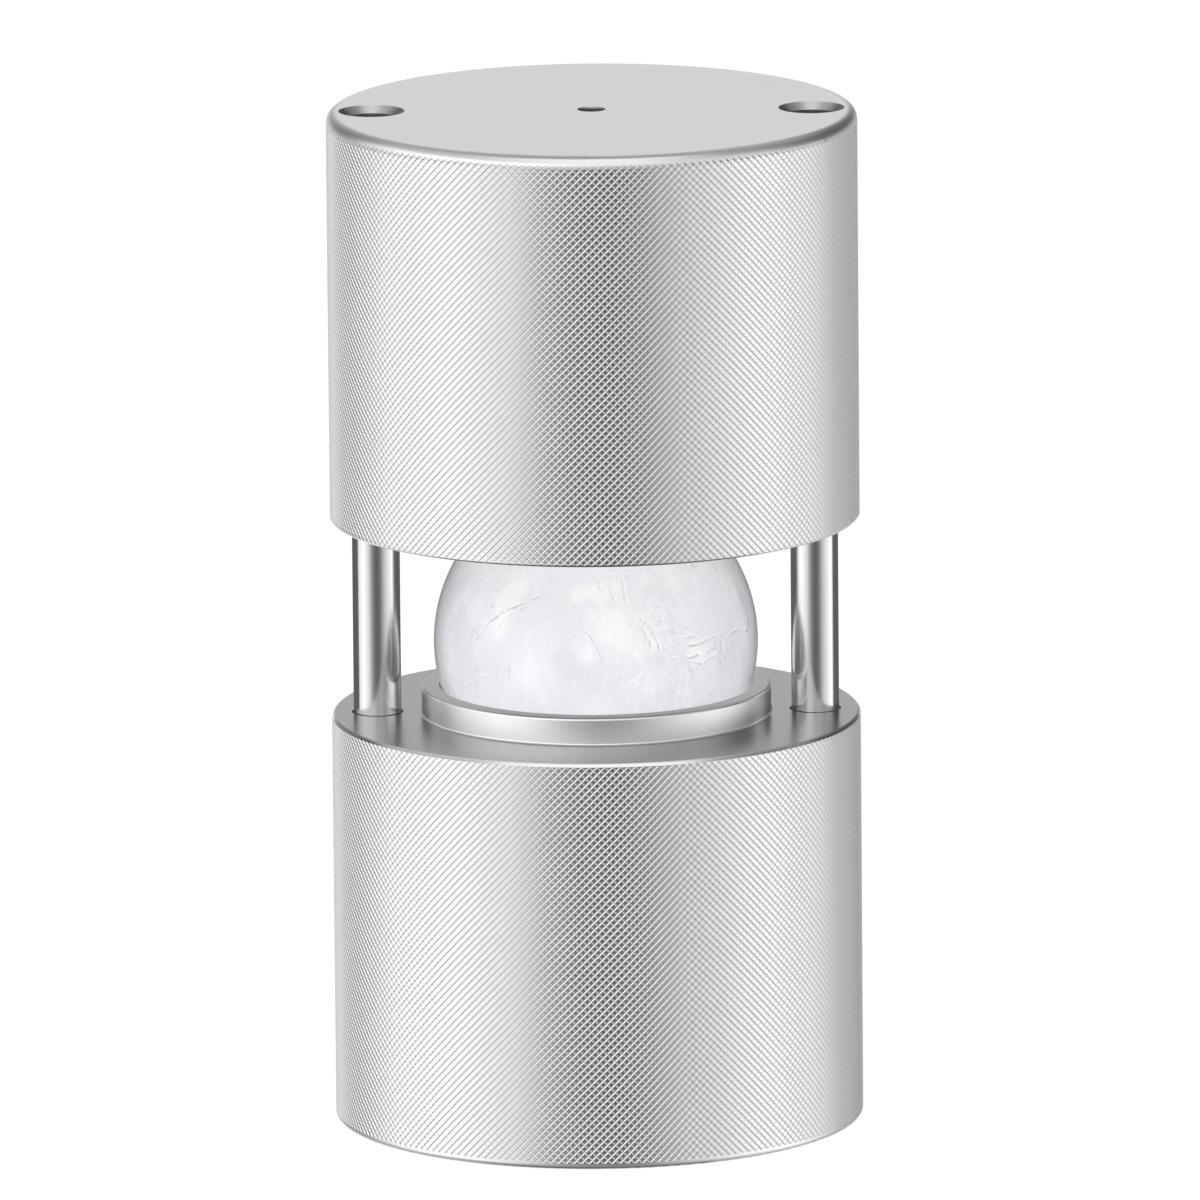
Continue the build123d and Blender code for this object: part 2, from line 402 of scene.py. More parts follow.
def grow_sleeve(name, tree, material, values, ends):
    """Runs the knurl's nodes once and keeps the result as a plain mesh."""
    carrier = bpy.data.objects.new(name + "_nodes", bpy.data.meshes.new(name + "_nodes"))
    bpy.context.scene.collection.objects.link(carrier)
    modifier = carrier.modifiers.new("Knurl", "NODES")
    modifier.node_group = tree
    values = {**values, "Material": material}
    for item in tree.interface.items_tree:
        if item.in_out == "INPUT":
            modifier[item.identifier] = values[item.name]
    bpy.context.view_layer.update()
    grown = carrier.evaluated_get(bpy.context.evaluated_depsgraph_get())
    mesh = bpy.data.meshes.new_from_object(grown)
    bpy.data.objects.remove(carrier)
    close_sleeve(mesh, ends)
    mesh.name = name
    piece = bpy.data.objects.new(name, mesh)
    bpy.context.scene.collection.objects.link(piece)
    return piece


# ---------------------------------------------------------------- finishes
def turned_metal(name, colour, finish, edge=1.0, relief=None):
    """Clear anodised aluminium. finish gives the shade, roughness and rings of each turned face; the shade
    is painted shade, given a faint random tone.
    """
    material, maker = new_material(name)
    place = maker.place()
    x, y, z = maker.split(place)
    spot = {
        "x": x, "y": y, "z": z,
        "radius": (x * x + y * y).math("SQRT"),
        "flat": maker.step(maker.split(maker.place("Normal"))[2].math("ABSOLUTE"), 0.95, 0.99),
        "grain": maker.noise(place, 2600, 2.0, 0.6),
        "cloud": maker.noise(place, 45, 3.0, 0.55),
    }
    across = x.math("ABSOLUTE") - ROD_X
    spot["rod_radius"] = (across * across + y * y).math("SQRT")
    spot["rings"] = maker.noise(
        maker.add("ShaderNodeCombineXYZ", None, {0: spot["radius"], 1: z * 0.02}), 3200, 2.0, 0.7)
    shade, rough, ring_relief = finish(maker, spot)
    shade = shade * (0.98 + spot["grain"] * 0.03 + spot["cloud"] * 0.03)
    tint = maker.grey(shade)
    height = spot["grain"] * 0.6 + spot["rings"] * ring_relief
    normal = maker.bump(height, 0.004 * MM, 0.6)
    if relief is not None:
        normal = maker.bump(relief(maker, spot), 1.0, 1.0, normal)
    return finish_material(material, maker, {
        "Base Color": maker.mix(1.0, (*colour, 1), tint, "MULTIPLY"), "Metallic": 1.0,
        "Roughness": rough + spot["grain"] * 0.05 + spot["cloud"] * 0.04,
        "Specular Tint": (edge, edge, edge, 1), "Normal": normal,
    })


def knurl_runout(maker, spot):
    """Grooves that run out of the upper band over its plain strip and into the rounded edge."""
    knurl = bpy.context.scene.press_knurl
    _, low, high, last_row = knurl_rows(UPPER_BAND, UPPER_BAND_SLOPES, knurl)
    turn = spot["y"].math("ARCTAN2", spot["x"]) * (knurl.teeth / math.tau)
    rise = (spot["z"] - low) * (last_row / (high - low) / 2)
    away = (turn + rise).math("PINGPONG", 0.5).math("MAXIMUM", (turn - rise).math("PINGPONG", 0.5))
    groove = (away - knurl.flat / 2) * (knurl.depth / (0.5 - knurl.flat / 2))
    over = (spot["z"] - (UPPER_HIGH.z - UPPER_TOP_ROUND)).math("MAXIMUM", 0.0)
    fall = over * over / (2 * UPPER_TOP_ROUND)
    side = maker.step(spot["radius"], BAR_R - 0.3 * MM, BAR_R - 0.25 * MM)
    side = side * maker.step(spot["z"], high - 0.01 * MM, high)
    return (groove - fall).math("MAXIMUM", 0.0) * side * -1


def at_height(maker, spot, height):
    """Mask of a flat face at one height."""
    near = (spot["z"] - height).math("ABSOLUTE")
    return spot["flat"] * maker.step(near, 0.15 * MM, 0.05 * MM)


def lower_mould_finish_and_shade(maker, spot):
    """Lapped parting face and satin collar. Painted shade darkens the parting face, the collar's rim and the
    mouths of the sockets that hold the rods.
    """
    face = at_height(maker, spot, PARTING_Z)
    rim = at_height(maker, spot, RIM_Z)
    mouth = (1 - spot["flat"]) * maker.step(spot["rod_radius"], ROD_R + 0.7 * MM, ROD_R + 0.55 * MM)
    # Painted shade: the parting face, the rim and the socket mouths are darker than the bare aluminium.
    shade = 1 - face * 0.46 - rim * 0.32 - mouth * 0.8
    return shade, 0.28 - face * 0.07, spot["flat"] * 0.25 - face * 0.2


def upper_mould_finish_and_shade(maker, spot):
    """Satin top. Painted reflection and shade: the turned walls of the rod bores are darker towards their
    sides, and deep down, and the vent is darker.
    """
    wall = 1 - spot["flat"]
    mouth = wall * maker.step(spot["rod_radius"], BORE_MOUTH_R + 0.2 * MM, BORE_MOUTH_R + 0.02 * MM)
    aside = ((spot["x"].math("ABSOLUTE") - ROD_X) / spot["rod_radius"]).math("ABSOLUTE")
    deep = maker.step(spot["z"], UPPER_HIGH.z - BORE_MOUTH_DEPTH, UPPER_HIGH.z - BORE_MOUTH_DEPTH - 0.1 * MM)
    # Painted reflection and shade: bore walls darker at their sides than at front and back, darker still
    # deep down.
    dark = maker.step(aside, 0.25, 0.95) * 0.55
    dark = dark + (0.4 - dark) * deep
    # Painted shade in the vent.
    vent = maker.step(spot["radius"], 3.2 * MM, 3.1 * MM) * wall
    return 1 - mouth * dark - vent * 0.5, 0.30 - mouth * 0.04, spot["flat"] * 0.4


def knurl_metal(name, colour):
    """The same aluminium where the knurling wheel has pressed it: smoother, with a trace of wear."""
    material, maker = new_material(name)
    place = maker.place()
    grain = maker.noise(place, 3000, 1.0)
    cloud = maker.noise(place, 30, 3.0, 0.6)
    shade = 0.96 + grain * 0.04 + cloud * 0.03
    tint = maker.grey(shade)
    return finish_material(material, maker, {
        "Base Color": maker.mix(1.0, (*colour, 1), tint, "MULTIPLY"),
        "Metallic": 1.0, "Roughness": 0.13 + grain * 0.04 + cloud * 0.03,
    })


def polished_steel(name, colour, roughness, grain_scale, lay=(1, 1, 0.05)):
    """Ground steel with a faint lay of fine scratches."""
    material, maker = new_material(name)
    place = maker.place()
    lines = maker.noise(maker.stretch(place, lay), grain_scale, 3.0, 0.65)
    smear = maker.noise(place, 90, 3.0)
    shade = 0.97 + lines * 0.04
    tint = maker.grey(shade)
    return finish_material(material, maker, {
        "Base Color": maker.mix(1.0, (*colour, 1), tint, "MULTIPLY"), "Metallic": 1.0,
        "Roughness": roughness + lines * 0.06 + smear * 0.04,
        "Normal": maker.bump(lines, 0.002 * MM, 0.5),
    })


def foot_rubber(name, colour):
    """Dull black rubber with moulding grain and a little dust."""
    material, maker = new_material(name)
    place = maker.place()
    grain = maker.noise(place, 1800, 3.0, 0.6)
    dust = maker.step(maker.noise(place, 260, 4.0, 0.65), 0.5, 0.75)
    tint = maker.mix(dust * 0.35, (*colour, 1), (0.16, 0.155, 0.15, 1))
    return finish_material(material, maker, {
        "Base Color": tint, "Roughness": 0.62 + grain * 0.2,
        "Normal": maker.bump(grain, 0.03 * MM, 0.8),
    })


# Flaws in the ice, in ball radii to the right of and above the middle of its front.
# Cracks: their points, half-width and strength. The upper side of a crack is its bright one, a painted
# highlight over the fracture's own white, and the other side is painted shade.
CRACKS = (
    (((-0.715, 0.04), (-0.645, 0.125), (-0.577, 0.178), (-0.50, 0.205), (-0.43, 0.24)), 0.011, 1.0),
    (((-0.565, 0.12), (-0.51, 0.165), (-0.45, 0.20)), 0.008, 0.8),
    (((-0.83, -0.28), (-0.74, -0.235), (-0.64, -0.20)), 0.007, 0.5),
    (((-0.085, 0.09), (-0.03, 0.0), (0.02, -0.095)), 0.007, -0.6),
    (((0.30, 0.05), (0.335, -0.02), (0.34, -0.10)), 0.011, 0.7),
    (((0.36, 0.04), (0.385, -0.03), (0.39, -0.09)), 0.009, 0.7),
    (((0.49, 0.00), (0.57, 0.015)), 0.009, 0.8),
    (((0.50, -0.05), (0.60, -0.03), (0.68, 0.0)), 0.010, 0.9),
    (((0.54, -0.11), (0.61, -0.10), (0.69, -0.075)), 0.009, 0.8),
    (((0.57, -0.135), (0.64, -0.15), (0.70, -0.12)), 0.009, 0.7),
    (((0.775, 0.03), (0.78, -0.02)), 0.012, 0.8),
    (((0.86, 0.36), (0.91, 0.24), (0.945, 0.10), (0.965, -0.05)), 0.012, 0.7),
    (((0.835, 0.28), (0.875, 0.16)), 0.008, 0.6),
    (((0.85, 0.045), (0.925, 0.05), (0.935, 0.12)), 0.012, 1.0),
    (((0.28, 0.12), (0.37, 0.20), (0.48, 0.23)), 0.008, 0.4),
    (((0.44, 0.06), (0.52, 0.075), (0.60, 0.06)), 0.006, 0.35),
    (((0.03, 0.34), (0.045, 0.25)), 0.013, 0.6),
    (((0.10, 0.36), (0.105, 0.27)), 0.012, 0.6),
    (((0.17, 0.35), (0.18, 0.28)), 0.012, 0.5),
)
# Colour of the painted shade on the dark side of a crack, and of the ice's dark specks.
CRACK_SHADE = (0.52, 0.51, 0.56)
# Across a crack, from its dark side of painted shade to its bright one of painted highlight. 0.5 is plain
# ice.
CRACK_PROFILE = ((0.0, 0.5), (0.30, 0.25), (0.46, 0.35), (0.60, 1.0), (0.8, 0.6), (1.0, 0.5))
# Frosty patches and painted highlights: soft white places, with their radius and strength. A negative one is
# clearer ice. The first seven, on the upper left and the top middle of the ball's front, are painted
# highlights, and the eighth, small and strong, is a painted glint.
FROST_AND_HIGHLIGHTS = (
    (-0.53, 0.25, 0.13, 0.9), (-0.57, 0.17, 0.12, 0.7), (-0.47, 0.32, 0.10, 0.6), (-0.60, 0.06, 0.10, 0.6),
    (-0.10, 0.275, 0.10, 0.7), (0.00, 0.285, 0.09, 0.8), (0.11, 0.31, 0.11, 0.5), (0.13, 0.163, 0.022, 1.0),
    (0.10, 0.10, 0.24, 0.5), (0.20, -0.05, 0.22, 0.4), (-0.40, -0.20, 0.26, 0.45), (-0.06, -0.10, 0.09, 0.6),
    (0.63, -0.09, 0.14, 0.5), (0.36, -0.04, 0.10, 0.4), (0.30, -0.30, 0.20, 0.3), (-0.20, -0.12, 0.10, -0.5),
    (0.47, 0.20, 0.20, -0.3), (0.90, 0.20, 0.15, -0.5), (-0.85, 0.10, 0.20, -0.3), (0.0, -0.42, 0.16, 0.35),
)


def ball_way(across, up):
    """Direction from the ball's centre to a point of its front."""
    near = math.sqrt(1 - across * across - up * up)
    sine, cosine = math.sin(VIEW_PITCH), math.cos(VIEW_PITCH)
    return Vector((across, up * sine - near * cosine, up * cosine + near * sine))


def crack_relief_light_and_shade(maker, way):
    """Painted highlight and painted shade along each crack, above and below 0, with the fracture's own
    white.
    """
    relief = None
    for points, width, strength in CRACKS:
        ways = [ball_way(*point) for point in points]
        for start, end in zip(ways, ways[1:]):
            across = start.cross(end).normalized() / (4 * width)
            middle = (start + end).normalized()
            reach = start.dot(middle)
            side = maker.vector("DOT_PRODUCT", way, tuple(across), output=1) + 0.5
            profile = maker.ramp(side, CRACK_PROFILE)
            along = maker.vector("DOT_PRODUCT", way, tuple(middle), output=1)
            length = maker.step(along, reach - (1 - reach) * 0.5 - 2e-4, reach)
            part = (profile - 0.5) * length * (strength * 2)
            relief = part if relief is None else relief + part
    return relief


def frost_and_highlight_cover(maker, way):
    """Sum of the soft white places: frosty patches and painted highlights."""
    cover = None
    for across, up, radius, strength in FROST_AND_HIGHLIGHTS:
        gap = maker.vector("DISTANCE", way, tuple(ball_way(across, up)), output=1)
        part = maker.step(gap, radius, 0.0) * strength
        cover = part if cover is None else cover + part
    return cover


def cloudy_ice(name, milk, vein_and_highlight):
    """Wet ice: a milky body with frosty patches, veils of tiny bubbles and fractures, under melt water.
    Painted highlights, a painted glint and painted shade lie on it, and it is painted whiter at its top and
    bottom.
    """
    material, maker = new_material(name)
    place = maker.place()
    out = maker.vector("SUBTRACT", place, tuple(BALL_CENTRE))
    ragged = maker.add("ShaderNodeTexNoise", None, {"Vector": place, "Scale": 330.0, "Detail": 3.0}, "Color")
    ragged = maker.vector("SCALE", maker.vector("SUBTRACT", ragged, (0.5, 0.5, 0.5)), output=0)
    ragged.socket.node.inputs["Scale"].default_value = 0.05
    way = maker.vector("ADD", maker.vector("NORMALIZE", out), ragged)
    crack_light_and_shade = crack_relief_light_and_shade(maker, way)
    frost_and_highlights = frost_and_highlight_cover(maker, way)
    veil = maker.step(maker.noise(place, 42, 5.0, 0.6, 0.6), 0.40, 0.70)
    wisps = maker.noise(maker.stretch(place, (1, 1, 0.45), (0.3, 0.6, 0.2)), 170, 6.0, 0.68, 1.0)
    wisps = maker.step(wisps, 0.5, 0.75)
    bent = maker.vector("ADD", place, maker.vector("MULTIPLY", ragged, (0.05, 0.05, 0.05)))
    webs = maker.add(
        "ShaderNodeTexVoronoi", {"feature": "DISTANCE_TO_EDGE"}, {"Vector": bent, "Scale": 62.0})
    where = maker.step(maker.noise(place, 33, 2.0), 0.56, 0.66)
    webs = maker.step(webs, 0.022, 0.004) * where
    height = maker.split(out)[2]
    # Painted light: the ice is made whiter towards its top and its bottom, where the moulds shade it.
    painted_light_top_bottom = maker.step(height, 2 * MM, 20 * MM) * 0.3 + maker.step(height, 0.0, -11 * MM) * 0.15
    feathers = maker.noise(maker.stretch(place, (1, 1, 0.5), (0.5, 0.9, 0.3)), 420, 5.0, 0.75, 1.6)
    feathers = maker.step(feathers, 0.48, 0.64) * (0.35 + veil * 0.65)
    specks = maker.step(maker.noise(place, 1000, 3.0, 0.7), 0.54, 0.64)
    specks = specks * maker.step(maker.noise(place, 80, 3.0, 0.6), 0.55, 0.63)
    # Painted light: the highlight places and the whiter top and bottom go into the white here.
    white = veil * 0.15 + wisps * 0.35 + feathers * 0.6 + frost_and_highlights * 1.1 + webs * 0.35 + painted_light_top_bottom
    # Painted highlight: the bright side of each crack.
    white = (white + crack_light_and_shade.math("MAXIMUM", 0.0) * 1.2).math("MINIMUM", 1.0)
    # Painted shade: each crack's dark side, with the dark specks of the ice.
    dark = (specks * 0.5 - crack_light_and_shade).math("MAXIMUM", 0.0).math("MINIMUM", 1.0)
    colour = maker.mix(white.math("MAXIMUM", 0.0), (*milk, 1), (*vein_and_highlight, 1))
    colour = maker.mix(dark, colour, (*CRACK_SHADE, 1))
    ripple = maker.noise(place, 60, 2.0)
    height = ripple + crack_light_and_shade * 0.5 + wisps * 0.1 + feathers * 0.06
    return finish_material(material, maker, {
        "Base Color": colour,
        "Roughness": 0.14 + wisps * 0.1, "IOR": 1.31, "Transmission Weight": 0.2,
        "Subsurface Weight": 0.5, "Subsurface Radius": (1.0, 1.0, 1.0), "Subsurface Scale": 2.5 * MM,
        "Coat Weight": 0.5, "Coat Roughness": 0.04, "Coat IOR": 1.33,
        "Normal": maker.bump(height, 0.2 * MM, 0.35),
    })


# ---------------------------------------------------------------- operators
class PRESS_OT_knurl_moulds(bpy.types.Operator):
    """Knurls the side of both moulds"""
    bl_idname = "press.knurl_moulds"
    bl_label = "Knurl the moulds"

    def execute(self, context):
        knurl = context.scene.press_knurl
        tree = knurl_tree()
        metal = knurl_metal("knurled_aluminium", context.scene.press_metal.aluminium)
        bands = {
            "lower_mould": (LOWER_BAND, LOWER_BAND_SLOPES, "base"),
            "upper_mould": (UPPER_BAND, UPPER_BAND_SLOPES, "press_head"),
        }
        for mould, (band, slopes, body) in bands.items():
            proud = BAR_R - KNURL_ROOT_R
            ends = (band[0] + slopes[0] * proud, band[1] + slopes[1] * proud)
            root, low, high, last_row = knurl_rows(band, slopes, knurl)
            middle = last_row // 2
            for part, first, last in (("low", 0, middle), ("high", middle + 1, last_row)):
                values = {
                    "Teeth": knurl.teeth, "First row": first, "Rows": last - first + 1,
                    "Row height": (high - low) / last_row, "Low": low, "High": high,
                    "Low slope": -slopes[0], "High slope": slopes[1],
                    "Root radius": root, "Depth": knurl.depth, "Flat": knurl.flat,
                }
                name = f"{mould}_knurl_{part}"
                piece = grow_sleeve(name, tree, metal, values, ends)
                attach(piece, body)
        return {"FINISHED"}


def turned_ring(name, outline, segments=360):
    """Ring of a closed outline of (radius, height) points, with smooth walls."""
    shell = bmesh.new()
    loops = []
    for radius, height in outline:
        turns = [math.tau * count / segments for count in range(segments)]
        corners = [(radius * math.cos(turn), radius * math.sin(turn), height) for turn in turns]
        loops.append([shell.verts.new(corner) for corner in corners])
    for inner, outer in zip(loops, loops[1:] + loops[:1]):
        for count in range(segments):
            after = (count + 1) % segments
            shell.faces.new((inner[count], inner[after], outer[after], outer[count])).smooth = True
    bmesh.ops.recalc_face_normals(shell, faces=shell.faces[:])
    mesh = bpy.data.meshes.new(name)
    shell.to_mesh(mesh)
    shell.free()
    mesh.set_sharp_from_angle(angle=math.radians(40))
    piece = bpy.data.objects.new(name, mesh)
    bpy.context.scene.collection.objects.link(piece)
    return piece


def arc(radius, height, size, start, end, steps):
    """Points of a quarter round in an outline, by the angles of its ends in degrees."""
    points = []
    for count in range(steps + 1):
        turn = math.radians(start + (end - start) * count / steps)
        points.append((radius + size * math.cos(turn), height + size * math.sin(turn)))
    return points


class PRESS_OT_turn_collar(bpy.types.Operator):
    """Turns the collar's skin: its rim, its rounded edge, its side and the fillet at its foot"""
    bl_idname = "press.turn_collar"
    bl_label = "Turn the collar"

    def execute(self, context):
        skin, wall, mouth = 0.01 * MM, 0.6 * MM, COLLAR_MOUTH_R - 0.001 * MM
        side, top, foot = COLLAR_R + skin, RIM_Z + skin, PARTING_Z + skin
        edge, fillet = COLLAR_EDGE_ROUND, COLLAR_FILLET
        outline = [(mouth, top), *arc(side - edge, top - edge, edge, 90, 0, 8)]
        outline += arc(side + fillet, foot + fillet, fillet, 180, 270, 6)
        outline += [(side + fillet, foot - wall), (side - wall, foot - wall), (side - wall, top - wall)]
        outline += [(mouth, top - 0.05 * MM)]
        piece = turned_ring("lower_mould_collar", outline)
        piece.data.materials.append(bpy.data.materials["lower_mould_aluminium"])
        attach(piece, "base")
        return {"FINISHED"}


class PRESS_OT_finish_and_shade_moulds(bpy.types.Operator):
    """Gives the turned faces of both moulds their finish, with painted shade, and makes the lower mould's
    aluminium lighter as painted light
    """
    bl_idname = "press.finish_moulds"
    bl_label = "Finish the moulds"

    def execute(self, context):
        colour = context.scene.press_metal.aluminium
        # Painted light: the lower mould is the same aluminium as the upper one, made 5 % lighter.
        bright = [min(1.0, part * 1.05) for part in colour]
        dress("lower_mould", turned_metal("lower_mould_aluminium", bright, lower_mould_finish_and_shade, 0.75))
        dress("upper_mould", turned_metal(
            "upper_mould_aluminium", colour, upper_mould_finish_and_shade, relief=knurl_runout))
        return {"FINISHED"}


class PRESS_OT_polish_rods(bpy.types.Operator):
    """Polishes the guide rods"""
    bl_idname = "press.polish_rods"
    bl_label = "Polish the rods"

    def execute(self, context):
        steel = polished_steel("polished_rod", context.scene.press_metal.rod_steel, 0.10, 1500)
        for side in ("left", "right"):
            dress(f"guide_rod_{side}", steel)
        return {"FINISHED"}


class PRESS_OT_finish_fasteners(bpy.types.Operator):
    """Finishes the screws, the washers and the feet"""
    bl_idname = "press.finish_fasteners"
    bl_label = "Finish screws and feet"

    def execute(self, context):
        metal = context.scene.press_metal
        screw = polished_steel("cap_screw_steel", metal.screw_steel, 0.25, 900, (1, 1, 1))
        washer = polished_steel("lock_washer_steel", metal.washer_steel, 0.30, 700, (1, 1, 1))
        for side in ("left", "right"):
            dress(f"rod_screw_{side}", screw)
            dress(f"rod_washer_{side}", washer)
        rubber = foot_rubber("foot_rubber_black", metal.rubber)
        for end in ("front", "back"):
            for side in ("left", "right"):
                dress(f"foot_{end}_{side}", rubber)
        return {"FINISHED"}


class PRESS_OT_freeze_ball(bpy.types.Operator):
    """Makes the ball of ice"""
    bl_idname = "press.freeze_ball"
    bl_label = "Freeze the ball"

    def execute(self, context):
        ice = context.scene.press_ice
        dress("ice_ball", cloudy_ice("cloudy_ice", ice.milk, ice.vein_and_highlight))
        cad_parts["ice_ball"].visible_glossy = False
        return {"FINISHED"}


# Strength of the soft lights that metal reflects, in rings round the press, by compass angle
# from the camera's side (negative is on its left). Between the named angles it blends.
LOW_RING = (
    (-172, 1.04), (-158, 0.93), (-142, 0.35), (-128, 0.27), (-112, 0.58), (-98, 1.09), (-82, 1.09),
    (-68, 1.34), (-52, 1.12), (-38, 0.89), (-22, 0.38), (-8, 0.17), (8, 0.13), (22, 0.25), (38, 0.62),
    (52, 0.86), (68, 1.09), (82, 1.34), (98, 1.16), (112, 0.93), (128, 0.45), (142, 0.48), (158, 0.50),
    (172, 0.72),
)
RAISED_RING = (
    (-176, 0.84), (-166, 0.36), (-135, 0.05), (-105, 0.95), (-75, 1.45), (-45, 1.50), (-18, 1.45),
    (0, 0.95), (15, 1.05), (45, 0.70), (75, 0.77), (105, 0.17), (135, 0.05), (166, 0.12), (176, 0.84),
)
HIGH_RING = (
    (-158, 0.37), (-112, 0.54), (-68, 0.61), (-22, 0.94), (22, 1.05), (68, 0.49), (112, 0.18),
    (158, 0.48),
)
DOWN_RING = (
    (-150, 0.60), (-90, 0.44), (30, 0.27), (90, 0.60), (150, 0.60),
)
BEHIND_LIGHT = 0.13
FRONT_CEILING = 1.15
BACK_CEILING = 0.05
TABLE_LIGHT = 0.09
# Degrees above the horizon between which one blends into the next.
LOW_TO_RAISED = (2, 8)
RAISED_TO_HIGH = (32, 38)
HIGH_TO_CEILING = (61, 69)
LOW_TO_DOWN = (-32, -38)
DOWN_TO_TABLE = (-62, -68)

# Lamps: name, place, width and share of the key lamp's power.
LAMPS = (
    ("key_lamp", (-1.3, -1.0, 1.5), 1.2, 1.0),
    ("fill_lamp", (1.4, -0.6, 0.9), 1.0, 0.35),
    ("ice_lamp_above", (-0.3, -1.3, 2.4), 4.0, 3.35),
    ("ice_lamp_below", (0.0, -1.3, -2.2), 4.0, 2.1),
)
PRESS_MIDDLE = (0, 0, 0.12)
FLOOR_REACH = 6.0

# The back card, in metres and degrees.
CARD_REACH = 6.0
CARD_CENTRE_Z = 0.13
CARD_RISES = (-35, 5)
CARD_PANELS = 72


def light_ring(maker, compass, lights):
    """Strength of one ring of soft lights. The ramp holds half of it, to stay under 1."""
    seam = (lights[0][1] + lights[-1][1]) / 4
    stops = [(angle / 360 + 0.5, light / 2) for angle, light in lights]
    return maker.ramp(compass, [(0.0, seam), *stops, (1.0, seam)]) * 2


def find_compass(maker, x, y):
    """Compass angle from the camera's side, as a share of the turn, and the mask of what lies behind."""
    compass = x.math("ARCTAN2", -y) / math.tau + 0.5
    return compass, maker.step((compass - 0.5).math("ABSOLUTE"), 0.255, 0.28)


def studio_ring(maker, direction):
    """What metal reflects: soft lights in rings, a ceiling and a dark table."""
    x, y, z = maker.split(direction)
    compass, behind = find_compass(maker, x, y)
    rise = z.math("ARCSINE") * (180 / math.pi)
    light = light_ring(maker, compass, LOW_RING)
    light = light + (BEHIND_LIGHT - light) * behind
    raised = light_ring(maker, compass, RAISED_RING)
    high = light_ring(maker, compass, HIGH_RING)
    light = light + (raised - light) * maker.step(rise, *LOW_TO_RAISED)
    light = light + (high - light) * maker.step(rise, *RAISED_TO_HIGH)
    ceiling = maker.step(y, 0.04, 0.20, FRONT_CEILING, BACK_CEILING)
    light = light + (ceiling - light) * maker.step(rise, *HIGH_TO_CEILING)
    down = light_ring(maker, compass, DOWN_RING)
    light = light + (down - light) * maker.step(rise, *LOW_TO_DOWN)
    return light + (TABLE_LIGHT - light) * maker.step(rise, *DOWN_TO_TABLE)


def pieces_named(starts):
    """The meshes whose names begin with one of a tuple of starts."""
    meshes = [item for item in bpy.context.scene.objects if item.type == "MESH"]
    return [item for item in meshes if item.name.startswith(starts)]


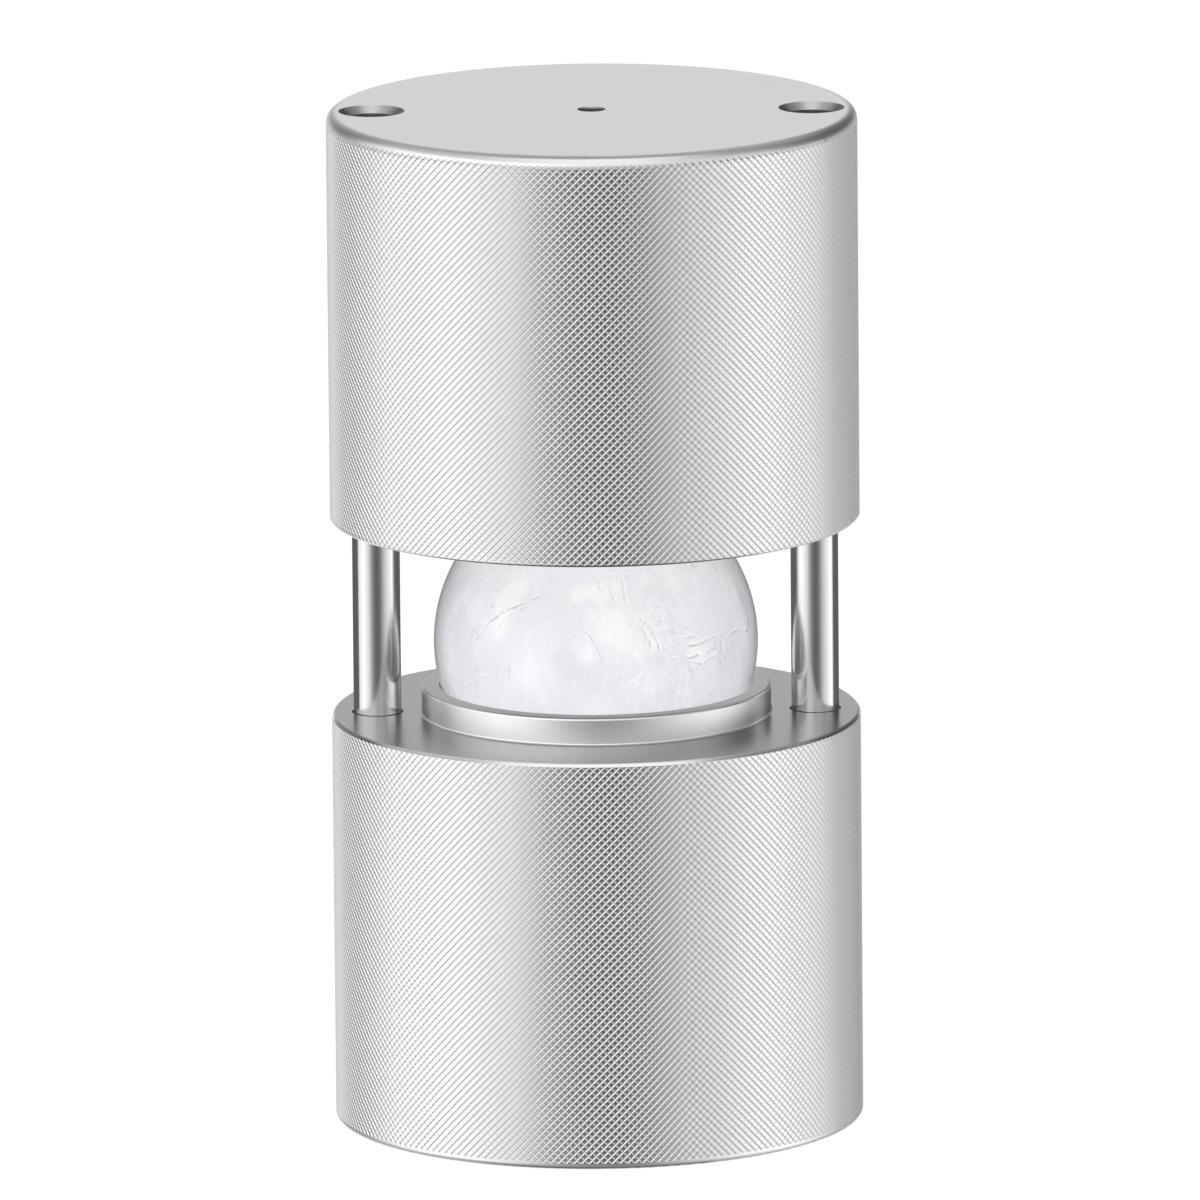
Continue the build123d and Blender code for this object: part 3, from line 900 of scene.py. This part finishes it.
class PRESS_OT_set_stage(bpy.types.Operator):
    """Sets the floor, the lamps, the surround and the camera"""
    bl_idname = "press.set_stage"
    bl_label = "Set the stage"

    def execute(self, context):
        self.make_floor(context)
        self.make_lamps(context)
        self.make_surround(context)
        self.make_back_card(context)
        self.make_camera(context)
        for piece in pieces_named(("lower_mould", "upper_mould")):
            piece.visible_diffuse = False     # the ice between them keeps the light of the room
        return {"FINISHED"}

    def light_only(self, light, *names):
        """Keeps a light to some pieces, found by the start of their names."""
        group = bpy.data.collections.new(light.name + "_lights")
        for piece in pieces_named(names):
            group.objects.link(piece)
        light.light_linking.receiver_collection = group
        return group

    def make_floor(self, context):
        mesh = bpy.data.meshes.new("floor")
        side = FLOOR_REACH
        corners = [(-side, -side, 0), (side, -side, 0), (side, side, 0), (-side, side, 0)]
        mesh.from_pydata(corners, [], [(0, 1, 2, 3)])
        floor = bpy.data.objects.new("floor", mesh)
        context.scene.collection.objects.link(floor)
        material, maker = new_material("floor_paper")
        path = maker.add("ShaderNodeLightPath").socket.node.outputs
        seen = Value(maker, path["Is Camera Ray"])
        white = maker.add("ShaderNodeEmission", None, {"Color": (1, 1, 1, 1), "Strength": 1.0})
        tone = 0.8 + seen * 0.6
        paper = maker.add("ShaderNodeBsdfDiffuse", None, {"Color": maker.grey(tone)})
        hole = maker.add("ShaderNodeBsdfTransparent")
        back = maker.add("ShaderNodeNewGeometry", None, None, "Backfacing")
        shade = maker.add("ShaderNodeMixShader", None, {
            0: seen * (1 - context.scene.press_studio.shadow), 1: paper, 2: white,
        })
        top = maker.add("ShaderNodeMixShader", None, {0: back, 1: shade, 2: hole})
        maker.add("ShaderNodeOutputMaterial", None, {"Surface": top})
        mesh.materials.append(material)
        floor.visible_glossy = False

    def make_lamps(self, context):
        power = context.scene.press_studio.lamp
        for name, place, width, share in LAMPS:
            lamp = bpy.data.lights.new(name, "AREA")
            lamp.shape = "DISK"
            lamp.size = width
            lamp.energy = power * share
            holder = bpy.data.objects.new(name, lamp)
            holder.location = place
            aim = Vector(PRESS_MIDDLE) - Vector(place)
            holder.rotation_euler = aim.to_track_quat("-Z", "Y").to_euler()
            holder.visible_glossy = False
            context.scene.collection.objects.link(holder)
            if name.startswith("ice_lamp"):
                holder.light_linking.blocker_collection = self.light_only(holder, "ice_ball")

    def make_back_card(self, context):
        """Lights behind the press, low down, that the mould sides reflect and the rods don't."""
        corners, faces = [], []
        for count in range(CARD_PANELS + 1):
            turn = math.radians(count * 360 / CARD_PANELS)
            for rise in CARD_RISES:
                flat = CARD_REACH * math.cos(math.radians(rise))
                height = CARD_CENTRE_Z + CARD_REACH * math.sin(math.radians(rise))
                corners.append((flat * math.sin(turn), flat * math.cos(turn), height))
        for count in range(CARD_PANELS):
            faces.append((count * 2, count * 2 + 1, count * 2 + 3, count * 2 + 2))
        mesh = bpy.data.meshes.new("back_card")
        mesh.from_pydata(corners, [], faces)
        card = bpy.data.objects.new("back_card", mesh)
        context.scene.collection.objects.link(card)
        material, maker = new_material("back_card_light")
        x, y, _ = maker.split(maker.place())
        compass, behind = find_compass(maker, x, y)
        glow = (light_ring(maker, compass, LOW_RING) - BEHIND_LIGHT) * behind
        glow = maker.add("ShaderNodeEmission", None, {"Color": maker.grey(glow), "Strength": 1.0})
        clear = maker.add("ShaderNodeBsdfTransparent")
        both = maker.add("ShaderNodeAddShader", None, {0: glow, 1: clear})
        maker.add("ShaderNodeOutputMaterial", None, {"Surface": both})
        material.cycles.emission_sampling = "NONE"
        mesh.materials.append(material)
        for ray in ("camera", "diffuse", "transmission", "shadow", "volume_scatter"):
            setattr(card, "visible_" + ray, False)
        self.light_only(card, "lower_mould", "upper_mould")

    def make_surround(self, context):
        world = bpy.data.worlds.new("studio")
        world.use_nodes = True
        world.node_tree.nodes.clear()
        maker = Maker(world.node_tree)
        path = maker.add("ShaderNodeLightPath").socket.node.outputs
        seen = Value(maker, path["Is Camera Ray"]).math("MAXIMUM", Value(maker, path["Is Transmission Ray"]))
        gloss = Value(maker, path["Is Glossy Ray"])
        ring = studio_ring(maker, maker.place("Generated"))
        fill = context.scene.press_studio.fill
        light = fill + (ring - fill) * gloss
        light = light + (1.0 - light) * seen
        sky = maker.add("ShaderNodeBackground", None, {"Color": (1, 1, 1, 1), "Strength": light})
        maker.add("ShaderNodeOutputWorld", None, {"Surface": sky})
        context.scene.world = world

    def make_camera(self, context):
        lens = bpy.data.cameras.new("view")
        lens.sensor_width = 36
        lens.lens = VIEW_LENS
        lens.clip_start = 0.1
        lens.clip_end = 100
        camera = bpy.data.objects.new("view", lens)
        level = Vector((math.cos(VIEW_YAW), -math.sin(VIEW_YAW), 0))
        ahead = Vector((0, 0, 1)).cross(level) * math.cos(VIEW_PITCH)
        ahead.z = -math.sin(VIEW_PITCH)
        upright = level.cross(ahead)
        right = math.cos(VIEW_ROLL) * level + math.sin(VIEW_ROLL) * upright
        up = right.cross(ahead)
        turn = Matrix((right, up, -ahead)).transposed().to_4x4()
        camera.matrix_world = Matrix.Translation((0, -VIEW_DISTANCE, VIEW_HEIGHT)) @ turn
        context.scene.collection.objects.link(camera)
        context.scene.camera = camera


class PRESS_PT_tools(bpy.types.Panel):
    """The press's pieces and settings"""
    bl_idname = "PRESS_PT_tools"
    bl_label = "Ice ball press"
    bl_space_type = "VIEW_3D"
    bl_region_type = "UI"
    bl_category = "Ice press"

    def draw(self, context):
        for operator in OPERATORS:
            self.layout.operator(operator.bl_idname)
        for name in SETTINGS:
            box = self.layout.box()
            group = getattr(context.scene, name)
            for field in group.bl_rna.properties:
                if field.identifier not in ("rna_type", "name"):
                    box.prop(group, field.identifier)


SETTINGS = {
    "press_knurl": KnurlSettings, "press_metal": MetalSettings,
    "press_ice": IceSettings, "press_studio": StudioSettings,
}
OPERATORS = (
    PRESS_OT_finish_and_shade_moulds, PRESS_OT_turn_collar, PRESS_OT_knurl_moulds, PRESS_OT_polish_rods,
    PRESS_OT_finish_fasteners, PRESS_OT_freeze_ball, PRESS_OT_set_stage,
)
CLASSES = (*SETTINGS.values(), *OPERATORS, PRESS_PT_tools)


def register():
    for item in CLASSES:
        bpy.utils.register_class(item)
    for name, group in SETTINGS.items():
        setattr(bpy.types.Scene, name, bpy.props.PointerProperty(type=group))


def unregister():
    for name in SETTINGS:
        delattr(bpy.types.Scene, name)
    for item in reversed(CLASSES):
        bpy.utils.unregister_class(item)


def main():
    register()
    bpy.context.scene.view_settings.view_transform = "Standard"
    for operator in OPERATORS:
        group, name = operator.bl_idname.split(".")
        getattr(getattr(bpy.ops, group), name)()


if __name__ == "__main__":
    main()
